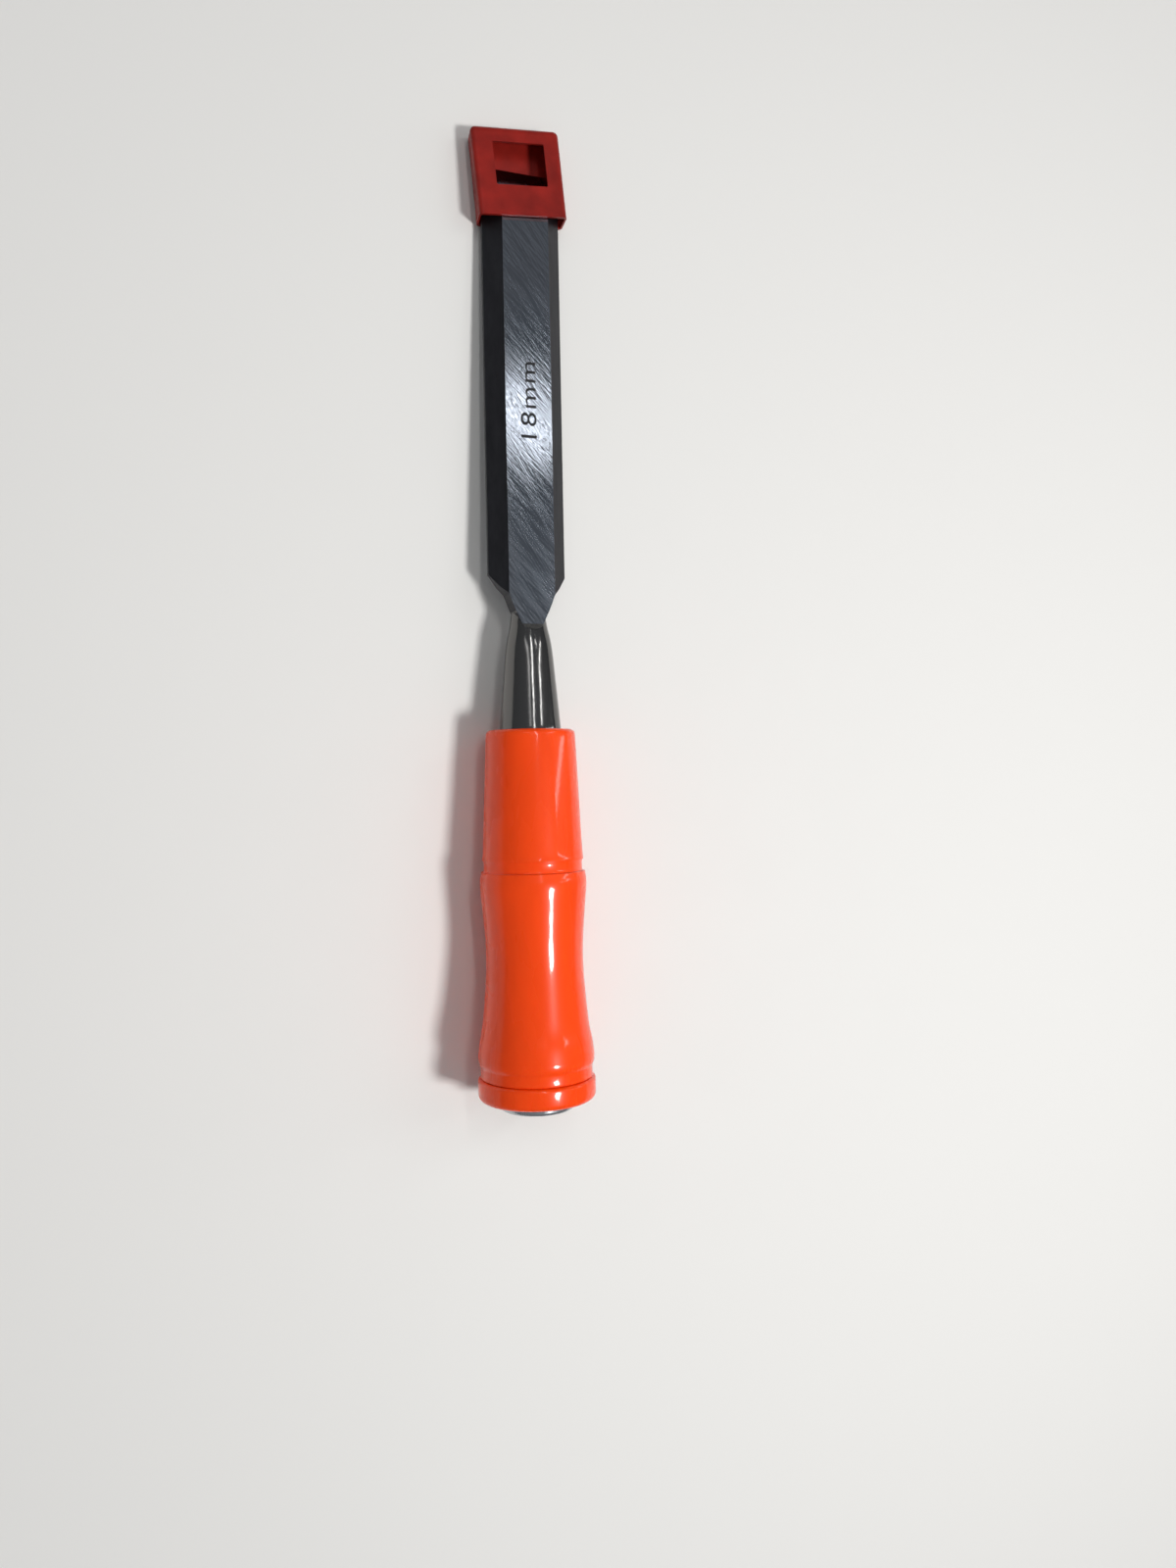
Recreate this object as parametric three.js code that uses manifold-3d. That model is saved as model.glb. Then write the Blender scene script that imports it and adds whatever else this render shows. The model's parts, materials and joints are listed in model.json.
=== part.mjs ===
// An 18 mm bevel-edged bench chisel with its push-on tip guard, lying on a bench, bevelled face up.
// Millimetres, +Z up. The cutting edge points to +Y. The origin is the middle of the footprint.
//
// The tool is drawn first in its own axes: Y runs along the handle's axis towards the cutting edge,
// Y = 0 is the handle's front face, and Z = 0 is the handle's axis. It is then tipped as it lies.

import * as THREE from "three";
import { mergeVertices } from "three/addons/utils/BufferGeometryUtils.js";
import Module from "manifold-3d";

// Blade
const BLADE_WIDTH = 18;
const BLADE_THICKNESS = 4.5;
const BLADE_BACK = -1.1; // the flat back, just under the handle's axis
const SIDE_LAND = 0.95; // upright edge left under each side bevel
const FLAT_WIDTH = 10.7; // ground flat between the two side bevels
const TIP_Y = 125.5; // cutting edge
const CUTTING_ANGLE = 25; // degrees
const EDGE_LAND = 0.1; // unhoned factory edge
const SHOULDER_Y = 34.5; // where the full width ends
const FLAT_SHOULDER_Y = 30.1; // where the flat starts to narrow
const FLAT_END_Y = 23.5; // where the flat runs out into the neck
const RUNOUT_Y = 22.3; // top of the small step at the end of the flat

// Neck and tang, forged in one with the blade
const NECK_BASE_RADIUS = 6.95; // at the handle's front face
const NECK_WAIST_RADIUS = 4.2; // at the end of the flat
const NECK_SEAT_DEPTH = 3; // how far the neck's foot sits in the handle
const TANG_HALF_WIDTH = 3.2; // square tang at the neck's foot
const TANG_END_HALF_WIDTH = 1.9;
const TANG_DEPTH = 62; // from the handle's front face to the tang's end

// Handle
const HANDLE_LENGTH = 82.6;
const FRONT_RADIUS = 10;
const RIM_RADIUS = 13.24;

// Strike cap
const CAP_RADIUS = 8.5;
const CAP_STANDS_OUT = 2.2;
const CAP_SEAT_DEPTH = 3;
const CAP_EDGE = 0.6; // broken edge of the struck face
const SPIGOT_RADIUS = 4;
const SPIGOT_LENGTH = 11.5;
const BARB_COUNT = 4;
const BARB_DEPTH = 0.45;

// Tip guard
const GUARD_INNER_WIDTH = 19.6;
const GUARD_INNER_HEIGHT = 5.8;
const GUARD_SIDE_WALL = 0.45;
const GUARD_FACE_WALL = 0.85;
const GUARD_END_WALL = 1;
const GUARD_LENGTH = 19.3;
const GUARD_END_DROP = 1.6; // it is this much lower at its closed end than at its mouth
const GUARD_LEAN = 1.3; // the soft walls lean to the left by this much over their height
const GUARD_CORNER = 1.2;
const GUARD_TURN = 6; // degrees, as it was pushed on askew
const GUARD_OFFSET_X = 0.69; // its mouth's middle from the blade's
const GUARD_HOLDS = 11.5; // length of blade inside the guard
const WINDOW_WIDTH = 11.9;
const WINDOW_LENGTH = 9.4;
const WINDOW_FROM_MOUTH = 6.6;
const WINDOW_OFFSET = 0.45; // to the right of the guard's middle line

// General
const GAP = 0.3; // running and fitting clearance between neighbouring pieces
const ROUND_SEGMENTS = 48;
const CURVE_STEPS = 3; // straight stretches in each drawn curve
const OVERSIZE = 40; // how far a cutter reaches past what it cuts

const X = new THREE.Vector3(1, 0, 0);
const Y = new THREE.Vector3(0, 1, 0);
const Z = new THREE.Vector3(0, 0, 1);
const BLADE_FLAT = BLADE_BACK + BLADE_THICKNESS;

const wasm = await Module();
wasm.setup();

// Closed three.js geometry to a solid that can be joined and cut.
function solid(geometry) {
  const bare = geometry.index ? geometry.toNonIndexed() : geometry.clone();
  bare.deleteAttribute("normal");
  bare.deleteAttribute("uv");
  const merged = mergeVertices(bare);
  const mesh = new wasm.Mesh({
    numProp: 3,
    vertProperties: new Float32Array(merged.attributes.position.array),
    triVerts: new Uint32Array(merged.index.array),
  });
  return new wasm.Manifold(mesh);
}

function geometryOf(body) {
  const { vertProperties, triVerts } = body.getMesh();
  const geometry = new THREE.BufferGeometry();
  geometry.setAttribute("position", new THREE.BufferAttribute(vertProperties, 3));
  geometry.setIndex(new THREE.BufferAttribute(triVerts, 1));
  geometry.computeVertexNormals();
  return geometry;
}

// Outline of [u, v] points, drawn on the axes uAxis and vAxis and extruded along the third.
function prism(points, depth, uAxis, vAxis, centre = new THREE.Vector3()) {
  const shape = new THREE.Shape(points.map(([u, v]) => new THREE.Vector2(u, v)));
  const geometry = new THREE.ExtrudeGeometry(shape, { depth, bevelEnabled: false });
  geometry.translate(0, 0, -depth / 2);
  const wAxis = new THREE.Vector3().crossVectors(uAxis, vAxis);
  geometry.applyMatrix4(new THREE.Matrix4().makeBasis(uAxis, vAxis, wAxis));
  geometry.translate(...centre);
  return solid(geometry);
}

// Turned piece about the Y axis from [radius, y] points, which run from low y to high y.
function turned(points) {
  const profile = points.map(([radius, y]) => new THREE.Vector2(radius, y));
  return solid(new THREE.LatheGeometry(profile, ROUND_SEGMENTS));
}

// Smooth run of [u, v] points through a few given ones.
function curve(points) {
  const spline = new THREE.SplineCurve(points.map(([u, v]) => new THREE.Vector2(u, v)));
  return spline.getPoints(CURVE_STEPS * (points.length - 1)).map((point) => [point.x, point.y]);
}

// Square, tapered bar along -Y from the handle's front face.
function squareTaper(startHalf, endHalf, startY, endY) {
  const length = startY - endY;
  const bar = new THREE.CylinderGeometry(startHalf * Math.SQRT2, endHalf * Math.SQRT2, length, 4);
  bar.rotateY(Math.PI / 4);
  bar.translate(0, (startY + endY) / 2, 0);
  return solid(bar);
}

function bladeSection() {
  const edge = BLADE_WIDTH / 2;
  const flat = FLAT_WIDTH / 2;
  const landTop = BLADE_BACK + SIDE_LAND;
  return [
    [-edge, BLADE_BACK],
    [edge, BLADE_BACK],
    [edge, landTop],
    [flat, BLADE_FLAT],
    [-flat, BLADE_FLAT],
    [-edge, landTop],
  ];
}

// Plan of the blade: full width to the shoulders, then drawn in to the neck.
function bladePlan() {
  const edge = BLADE_WIDTH / 2;
  const flat = FLAT_WIDTH / 2;
  const flatEnd = Math.sqrt(NECK_WAIST_RADIUS ** 2 - BLADE_FLAT ** 2);
  const shoulder = [
    [edge, SHOULDER_Y],
    [flat + 1.6, FLAT_SHOULDER_Y + 1.6],
    ...curve([
      [flat, FLAT_SHOULDER_Y],
      [flat - 1.3, (FLAT_SHOULDER_Y + FLAT_END_Y) / 2],
      [flatEnd, FLAT_END_Y],
    ]),
  ];
  const right = [[edge, TIP_Y], ...shoulder];
  const left = right.map(([x, y]) => [-x, y]).reverse();
  return [...right, ...left].reverse();
}

function neck() {
  const frontSweep = curve([
    [NECK_WAIST_RADIUS + 1, FLAT_END_Y - 4.9],
    [NECK_WAIST_RADIUS, FLAT_END_Y],
    [NECK_WAIST_RADIUS - 0.9, FLAT_END_Y + 5.5],
    [-BLADE_BACK, SHOULDER_Y + 1],
  ]);
  return turned([
    [0, -NECK_SEAT_DEPTH],
    [NECK_BASE_RADIUS - 0.4, -NECK_SEAT_DEPTH],
    [NECK_BASE_RADIUS, -NECK_SEAT_DEPTH + 0.4],
    [NECK_BASE_RADIUS, 0],
    [NECK_BASE_RADIUS - 0.95, 10.4],
    ...frontSweep,
    [0, SHOULDER_Y + 1.4],
  ]);
}

// Everything above the ground flat, as far as the step where the flat runs out.
function aboveTheFlat() {
  const clear = BLADE_FLAT + OVERSIZE;
  return prism(
    [
      [FLAT_END_Y, BLADE_FLAT],
      [TIP_Y + OVERSIZE, BLADE_FLAT],
      [TIP_Y + OVERSIZE, clear],
      [RUNOUT_Y, clear],
      [RUNOUT_Y, BLADE_FLAT + 1],
    ],
    BLADE_WIDTH + OVERSIZE, Y, Z,
  );
}

function cuttingBevel() {
  const run = (BLADE_THICKNESS - EDGE_LAND) / Math.tan(THREE.MathUtils.degToRad(CUTTING_ANGLE));
  return prism(
    [
      [TIP_Y, BLADE_BACK + EDGE_LAND],
      [TIP_Y, BLADE_FLAT + OVERSIZE],
      [TIP_Y - run, BLADE_FLAT + OVERSIZE],
      [TIP_Y - run, BLADE_FLAT],
    ].reverse(),
    BLADE_WIDTH + OVERSIZE, Y, Z,
  );
}

function blade() {
  const barLength = TIP_Y - FLAT_END_Y;
  const middle = new THREE.Vector3(0, (TIP_Y + FLAT_END_Y) / 2, 0);
  const bar = prism(bladeSection(), barLength, X, Z, middle);
  const plan = prism(bladePlan(), OVERSIZE, X, Y);
  const tang = squareTaper(TANG_HALF_WIDTH, TANG_END_HALF_WIDTH, 0, -TANG_DEPTH);
  const forged = bar.intersect(plan).add(neck()).subtract(aboveTheFlat());
  return forged.subtract(cuttingBevel()).add(tang);
}

// Outside of the handle, from the butt to the front face.
function handleProfile() {
  const rim = [
    [RIM_RADIUS - 1.4, -HANDLE_LENGTH],
    [RIM_RADIUS - 0.4, -HANDLE_LENGTH + 0.4],
    [RIM_RADIUS, -HANDLE_LENGTH + 1.4],
    [RIM_RADIUS, -78.9],
    [RIM_RADIUS - 0.3, -78],
    [12.6, -77.4],
  ];
  const rearBand = [
    [12.6, -75],
    [12.95, -74.5],
  ];
  const grip = curve([
    [13.12, -73.2],
    [12.7, -69.6],
    [11.9, -65],
    [11.05, -55],
    [10.95, -48.5],
    [11.4, -41.5],
    [12, -35],
    [11.8, -32],
  ]);
  const frontBand = [
    [11.15, -31.5],
    [11.05, -29.7],
    [11.4, -29.2],
  ];
  const front = [
    ...curve([
      [11.15, -25.6],
      [10.55, -12],
      [FRONT_RADIUS + 0.1, -1.1],
    ]),
    [FRONT_RADIUS - 0.25, -0.35],
    [FRONT_RADIUS - 1, 0],
  ];
  return [...rim, ...rearBand, ...grip, ...frontBand, ...front];
}

// The seat for the neck's foot and the square socket for the tang.
function tangSocket() {
  const seatFloor = -NECK_SEAT_DEPTH - GAP;
  const seatRadius = NECK_BASE_RADIUS + GAP;
  const seat = turned([
    [0, seatFloor],
    [seatRadius, seatFloor],
    [seatRadius, OVERSIZE],
    [0, OVERSIZE],
  ]);
  const socket = squareTaper(
    TANG_HALF_WIDTH + GAP, TANG_END_HALF_WIDTH + GAP, 0, -TANG_DEPTH - GAP,
  );
  return seat.add(socket);
}

// The recess for the strike cap and the hole for its spigot.
function capSeat() {
  const recessFloor = -HANDLE_LENGTH + CAP_SEAT_DEPTH;
  const holeFloor = recessFloor + SPIGOT_LENGTH + GAP;
  return turned([
    [0, -HANDLE_LENGTH - OVERSIZE],
    [CAP_RADIUS + GAP, -HANDLE_LENGTH - OVERSIZE],
    [CAP_RADIUS + GAP, recessFloor],
    [SPIGOT_RADIUS + GAP, recessFloor],
    [SPIGOT_RADIUS + GAP, holeFloor],
    [0, holeFloor],
  ]);
}

function handle() {
  const profile = handleProfile();
  const outside = turned([[0, -HANDLE_LENGTH], ...profile, [0, 0]]);
  return outside.subtract(tangSocket()).subtract(capSeat());
}

function strikeCap() {
  const face = -HANDLE_LENGTH - CAP_STANDS_OUT;
  const under = -HANDLE_LENGTH + CAP_SEAT_DEPTH - GAP;
  const pitch = SPIGOT_LENGTH / BARB_COUNT;
  const barbs = [];
  for (let i = 0; i < BARB_COUNT; i += 1) {
    const start = under + i * pitch;
    barbs.push([SPIGOT_RADIUS - BARB_DEPTH, start]);
    barbs.push([SPIGOT_RADIUS, start + BARB_DEPTH]);
  }
  return turned([
    [0, face],
    [CAP_RADIUS - CAP_EDGE, face],
    [CAP_RADIUS, face + CAP_EDGE],
    [CAP_RADIUS, under],
    ...barbs,
    [SPIGOT_RADIUS - BARB_DEPTH, under + SPIGOT_LENGTH],
    [0, under + SPIGOT_LENGTH],
  ]);
}

function roundedRectangle(width, height, radius) {
  const shape = new THREE.Shape();
  const x = width / 2 - radius;
  const y = height / 2 - radius;
  shape.absarc(x, y, radius, 0, Math.PI / 2);
  shape.absarc(-x, y, radius, Math.PI / 2, Math.PI);
  shape.absarc(-x, -y, radius, Math.PI, 1.5 * Math.PI);
  shape.absarc(x, -y, radius, 1.5 * Math.PI, 2 * Math.PI);
  return shape.extractPoints(CURVE_STEPS).shape.map((point) => [point.x, point.y]);
}

function rectangle(width, height) {
  const x = width / 2;
  const y = height / 2;
  return [[-x, -y], [x, -y], [x, y], [-x, y]];
}

// The guard in its own axes: its mouth at Y = 0, opening to -Y, its underside at Z = 0.
function tipGuard() {
  const width = GUARD_INNER_WIDTH + 2 * GUARD_SIDE_WALL;
  const height = GUARD_INNER_HEIGHT + 2 * GUARD_FACE_WALL;
  const middle = new THREE.Vector3(0, GUARD_LENGTH / 2, height / 2);
  const outside = prism(
    roundedRectangle(width, height, GUARD_CORNER), GUARD_LENGTH, X, Z, middle,
  );
  const roundedEnd = prism(
    roundedRectangle(width, 2 * GUARD_LENGTH, GUARD_CORNER), OVERSIZE, X, Y,
  );
  const pocketLength = GUARD_LENGTH - GUARD_END_WALL + OVERSIZE;
  const pocketMiddle = new THREE.Vector3(
    0, GUARD_LENGTH - GUARD_END_WALL - pocketLength / 2, height / 2,
  );
  const pocket = prism(
    roundedRectangle(GUARD_INNER_WIDTH, GUARD_INNER_HEIGHT, GUARD_CORNER / 2),
    pocketLength, X, Z, pocketMiddle,
  );
  const windowMiddle = new THREE.Vector3(
    WINDOW_OFFSET, WINDOW_FROM_MOUTH + WINDOW_LENGTH / 2, height / 2 + OVERSIZE / 2,
  );
  const window = prism(rectangle(WINDOW_WIDTH, WINDOW_LENGTH), OVERSIZE, X, Y, windowMiddle);
  const square = outside.intersect(roundedEnd).subtract(pocket).subtract(window);
  return square.warp((point) => {
    point[2] *= 1 - (GUARD_END_DROP / height) * (point[1] / GUARD_LENGTH);
    point[0] -= GUARD_LEAN * (point[2] / height);
  });
}

// How far the tool tips to lie with its handle on the bench and its tip in the guard: the line
// from the tip's underside that just touches the handle from below.
function lyingTilt() {
  const tipLift = GUARD_FACE_WALL + GAP;
  const slopes = handleProfile().map(([radius, y]) => {
    const reach = Math.hypot(TIP_Y - y, radius + BLADE_BACK);
    const line = Math.atan2(radius + BLADE_BACK, TIP_Y - y);
    return line - Math.asin(tipLift / reach);
  });
  return Math.max(...slopes);
}

function mesh(name, body, color, roughness, metalness) {
  const material = new THREE.MeshStandardMaterial({ color, roughness, metalness });
  const result = new THREE.Mesh(geometryOf(body), material);
  result.name = name;
  return result;
}

const tool = new THREE.Group();
tool.add(mesh("blade", blade(), 0x8f959c, 0.3, 1));
tool.add(mesh("handle", handle(), 0xf0420f, 0.28, 0));
tool.add(mesh("strike_cap", strikeCap(), 0xb9bcc0, 0.22, 1));

const tilt = lyingTilt();
tool.rotation.x = -tilt;
const tipHeight = -TIP_Y * Math.sin(tilt) + BLADE_BACK * Math.cos(tilt);
tool.position.z = GUARD_FACE_WALL + GAP - tipHeight;

const tipReach = TIP_Y * Math.cos(tilt) + BLADE_BACK * Math.sin(tilt);
const guard = mesh("tip_guard", tipGuard(), 0xa8261c, 0.4, 0);
guard.rotation.z = THREE.MathUtils.degToRad(GUARD_TURN);
guard.position.set(GUARD_OFFSET_X, tipReach - GUARD_HOLDS, 0);

const chisel = new THREE.Group();
chisel.add(tool, guard);
const footprint = new THREE.Box3().setFromObject(chisel, true);
const middle = footprint.getCenter(new THREE.Vector3());
chisel.position.set(-middle.x, -middle.y, -footprint.min.z);

export default chisel;
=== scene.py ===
"""Bench chisel: an 18 mm bevel-edged blade in a moulded plastic handle, with a slip-on tip guard.

The tool's pieces are drawn in millimetres on the tool's own axes: Y runs along the handle towards
the cutting edge, from 0 at the handle's front face, and Z leaves the bevelled face. Each piece is
then laid where the frame's chisel lies. The tip guard has axes of its own, from its mouth.
"""

import json
import math

import bmesh
import bpy
from bpy.props import FloatProperty, FloatVectorProperty, IntProperty, PointerProperty
from mathutils import Matrix, Vector


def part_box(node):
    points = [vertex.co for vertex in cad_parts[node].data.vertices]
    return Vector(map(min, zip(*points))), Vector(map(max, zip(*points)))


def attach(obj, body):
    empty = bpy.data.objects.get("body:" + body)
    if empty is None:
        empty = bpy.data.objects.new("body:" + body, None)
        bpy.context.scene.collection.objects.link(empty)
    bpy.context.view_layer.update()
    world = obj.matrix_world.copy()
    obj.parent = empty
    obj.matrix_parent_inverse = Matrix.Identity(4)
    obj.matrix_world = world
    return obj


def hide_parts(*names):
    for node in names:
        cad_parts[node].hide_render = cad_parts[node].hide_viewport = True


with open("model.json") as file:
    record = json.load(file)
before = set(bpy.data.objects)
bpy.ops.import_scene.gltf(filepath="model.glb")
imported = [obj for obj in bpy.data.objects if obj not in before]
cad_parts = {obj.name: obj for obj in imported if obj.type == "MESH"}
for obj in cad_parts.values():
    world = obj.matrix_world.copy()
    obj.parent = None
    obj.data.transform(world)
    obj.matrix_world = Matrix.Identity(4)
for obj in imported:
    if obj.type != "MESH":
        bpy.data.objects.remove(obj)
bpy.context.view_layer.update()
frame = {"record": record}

bl_info = {
    "name": "Bench chisel",
    "version": (1, 0, 0),
    "blender": (4, 5, 0),
    "location": "View3D > Sidebar > Chisel",
    "description": "Builds a bevel-edged bench chisel with a slip-on tip guard",
    "category": "Add Mesh",
}

MM = 1000.0  # millimetres in a metre
MICRON = 0.000001  # metres, for the depth of a bump
HAIR = 0.02  # mm, by which smooth pieces stay inside the faceted frame
TANG_ROOT, TANG_END = 3.2, 1.9  # mm, half the side of the square tang at its two ends


def linear(colour):
    """The linear RGBA of an sRGB hex colour such as #F03A08."""
    channels = [int(colour[i:i + 2], 16) / 255 for i in (1, 3, 5)]
    return tuple(c / 12.92 if c <= 0.04045 else ((c + 0.055) / 1.055) ** 2.4 for c in channels) + (1.0,)


# ---------------------------------------------------------------- places, from the frame

MOUNTS = {mount["name"]: mount for mount in frame["record"]["mounts"]}
STRIKE = MOUNTS["strike_face"]
UNDERSIDE = MOUNTS["guard_underside"]
BLADE_LOW, BLADE_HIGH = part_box("blade")
HANDLE_LOW, HANDLE_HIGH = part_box("handle")
CAP_LOW, CAP_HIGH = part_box("strike_cap")
GUARD_LOW, GUARD_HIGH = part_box("tip_guard")


def tool_axes(butt_to_front):
    """The tool's axes in the frame, in millimetres, from the struck face and the handle's length."""
    y_axis = -Vector(STRIKE["axis"]).normalized()
    x_axis = Vector((1, 0, 0))
    z_axis = x_axis.cross(y_axis)
    origin = Vector(STRIKE["pos_m"]) + y_axis * butt_to_front
    lying = Matrix((x_axis, y_axis, z_axis)).transposed().to_4x4()
    return Matrix.Translation(origin) @ lying @ Matrix.Scale(1 / MM, 4)


def guard_axes(long, askew):
    """The guard's axes in the frame, in millimetres: from its mouth, and turned as it lies on the bench."""
    middle = Vector(UNDERSIDE["pos_m"])
    from_middle = Matrix.Translation((0, -long / 2, 0))
    turned = Matrix.Rotation(askew, 4, "Z")
    return Matrix.Translation(middle) @ turned @ from_middle @ Matrix.Scale(1 / MM, 4)


# ---------------------------------------------------------------- settings

def length(name, description, default):
    return FloatProperty(name=name, description=description, default=default, unit="LENGTH", precision=5)


def angle(name, description, degrees):
    return FloatProperty(name=name, description=description, default=math.radians(degrees), subtype="ANGLE")


def colour(name, description, default):
    return FloatVectorProperty(
        name=name, description=description, default=linear(default), size=4, subtype="COLOR", min=0, max=1
    )


class BladeSettings(bpy.types.PropertyGroup):
    width: length("Width", "Width of the blade", BLADE_HIGH.x - BLADE_LOW.x)
    thickness: length("Thickness", "From the flat back to the ground flat", 0.0045)
    back: length("Back", "The flat back's height over the handle's axis", -0.0011)
    side_land: length("Side land", "Upright edge under each side bevel", 0.00095)
    flat_width: length("Flat", "Width of the flat between the side bevels", 0.0107)
    tip: length("Reach", "From the handle's front face to the cutting edge", 0.1255)
    shoulder: length("Shoulder", "From the handle to the blade's full width", 0.0345)
    flat_end: length("Flat's end", "From the handle to the end of the ground flat", 0.0235)
    neck_foot: length("Neck's foot", "Radius of the neck at the handle", 0.00695)
    neck_waist: length("Neck's waist", "Radius of the neck behind the blade", 0.0042)
    tang_depth: length("Tang", "Length of the tang in the handle", 0.062)
    worn_edge: length("Worn edge", "Rounding of the blade's long edges", 0.0002)
    cutting_angle: angle("Cutting angle", "Angle of the cutting bevel", 25)
    ground: colour("Ground steel", "Colour of the ground flat", "#82878F")
    # painted shade: the side bevels' colour is a darker copy of the ground steel, standing for the dark
    # surroundings they reflect
    bevels: colour("Side bevels", "Colour of the darker side bevels", "#3B3B3F")
    # painted shade: the polished neck's colour is set dark to stand for the dark surroundings it reflects
    neck: colour("Neck", "Colour of the polished neck", "#6A6968")
    scale: colour("Scale", "Colour of the forged tang", "#2B2725")


class HandleSettings(bpy.types.PropertyGroup):
    length: length("Length", "From the front face to the butt", 0.0826)
    rim: length("Rim", "Radius of the rim at the butt", (HANDLE_HIGH.x - HANDLE_LOW.x) / 2)
    seat: length("Seat", "Depth of the seat for the neck's foot", 0.0033)
    gap: length("Gap", "Clearance round the steel that the handle holds", 0.0003)
    plastic: colour("Plastic", "Colour of the moulded plastic", "#FF4905")


class CapSettings(bpy.types.PropertyGroup):
    radius: length("Radius", "Radius of the strike cap", (CAP_HIGH.x - CAP_LOW.x) / 2)
    stands_out: length("Stands out", "How far the cap stands out of the butt", 0.0022)
    seat: length("Seat", "Depth of the recess for the cap", 0.003)
    spigot: length("Spigot", "Radius of the barbed spigot", 0.004)
    spigot_length: length("Spigot's length", "Length of the barbed spigot", 0.0115)
    barbs: IntProperty(name="Barbs", description="Rings of barbs on the spigot", default=4, min=1, max=8)
    steel: colour("Steel", "Colour of the turned steel", "#C2C4C7")


class GuardSettings(bpy.types.PropertyGroup):
    width: length("Width", "Outer width", 0.0205)
    length: length("Length", "Outer length", 0.0193)
    height: length("Height", "Outer height", GUARD_HIGH.z - GUARD_LOW.z)
    pocket_width: length("Pocket's width", "Width of the pocket for the blade", 0.0196)
    pocket_height: length("Pocket's height", "Height of the pocket for the blade", 0.0058)
    end_drop: length("End drop", "How much lower the closed end is than the mouth", 0.0016)
    lean: length("Lean", "How far the soft walls lean to the left over their height", 0.0013)
    end_wall: length("End wall", "Thickness of the closed end", 0.001)
    window_width: length("Window's width", "Width of the window", 0.0119)
    window_length: length("Window's length", "Length of the window along the blade", 0.0094)
    window_start: length("Window's start", "From the mouth to the window", 0.0066)
    window_offset: length("Window's offset", "The window's middle to the right of the guard's", 0.00045)
    turn: angle("Turn", "How far askew the guard was pushed on", 6)
    vinyl: colour("Vinyl", "Colour of the translucent vinyl", "#A8241B")


class MarkSettings(bpy.types.PropertyGroup):
    start: length("Start", "From the handle to the mark's first figure", 0.0647)
    length: length("Length", "Length of the mark along the blade", 0.0169)
    height: length("Height", "Height of the figures", 0.0037)
    middle: length("Middle", "Middle of the mark from the blade's middle line", -0.0001)
    ink: colour("Etching", "Colour of the etched figures", "#1C1C1F")


class StageSettings(bpy.types.PropertyGroup):
    size: length("Bench", "Side of the bench top shown", 3.0)
    lens: FloatProperty(name="Lens", description="Focal length on a 36 mm tall sensor", default=27.05)
    bench: colour("Bench colour", "Colour of the pale bench", "#E9E7E3")


class ChiselSettings(bpy.types.PropertyGroup):
    blade: PointerProperty(type=BladeSettings)
    handle: PointerProperty(type=HandleSettings)
    cap: PointerProperty(type=CapSettings)
    guard: PointerProperty(type=GuardSettings)
    mark: PointerProperty(type=MarkSettings)
    stage: PointerProperty(type=StageSettings)


def settings():
    return bpy.context.scene.bench_chisel


def tool_lies():
    return tool_axes(settings().handle.length + settings().cap.stands_out)


def guard_lies():
    return guard_axes(settings().guard.length, settings().guard.turn)


# ---------------------------------------------------------------- modelling by hand

def deselect():
    bpy.ops.object.select_all(action="DESELECT")


def focus(piece):
    """Makes the piece the only one that the next operator acts on."""
    deselect()
    piece.select_set(True)
    bpy.context.view_layer.objects.active = piece
    return piece


def edit(mode="FACE"):
    bpy.ops.object.mode_set(mode="EDIT")
    bpy.ops.mesh.select_mode(type=mode)
    bpy.ops.mesh.select_all(action="SELECT")


def finish_edit():
    bpy.ops.mesh.select_all(action="SELECT")
    bpy.ops.mesh.normals_make_consistent(inside=False)
    bpy.ops.object.mode_set(mode="OBJECT")


def pick(kind, test):
    """Selects the faces or edges in edit mode that pass the test. None at all is an error."""
    bpy.ops.mesh.select_all(action="DESELECT")
    mesh = bmesh.from_edit_mesh(bpy.context.object.data)
    found = [part for part in getattr(mesh, kind) if test(part)]
    for part in found:
        part.select_set(True)
    bmesh.update_edit_mesh(bpy.context.object.data)
    if not found:
        raise RuntimeError(f"{bpy.context.object.name}: none of its {kind} were found")


def block(name, size, middle):
    """A box of that size, in edit mode, ready to be shaped."""
    deselect()
    bpy.ops.mesh.primitive_cube_add(size=1, location=middle)
    bpy.context.object.name = name
    bpy.context.object.scale = size
    bpy.ops.object.transform_apply(location=True, rotation=True, scale=True)
    edit()
    return bpy.context.object


def turn(name, profile, segments=144):
    """A closed piece turned about the tool's axis: a disc, extruded and resized ring by ring."""
    deselect()
    (radius, y), *rest = profile
    bpy.ops.mesh.primitive_circle_add(
        vertices=segments, radius=radius, fill_type="NGON", location=(0, y, 0), rotation=(math.pi / 2, 0, 0)
    )
    bpy.ops.object.transform_apply(location=True, rotation=True, scale=True)
    piece = bpy.context.object
    piece.name = name
    edit()
    for next_radius, next_y in rest:
        bpy.ops.mesh.extrude_region_move(TRANSFORM_OT_translate={"value": (0, next_y - y, 0)})
        growth = next_radius / radius
        bpy.ops.transform.resize(value=(growth, 1, growth), center_override=(0, next_y, 0))
        radius, y = next_radius, next_y
    finish_edit()
    return piece


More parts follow.
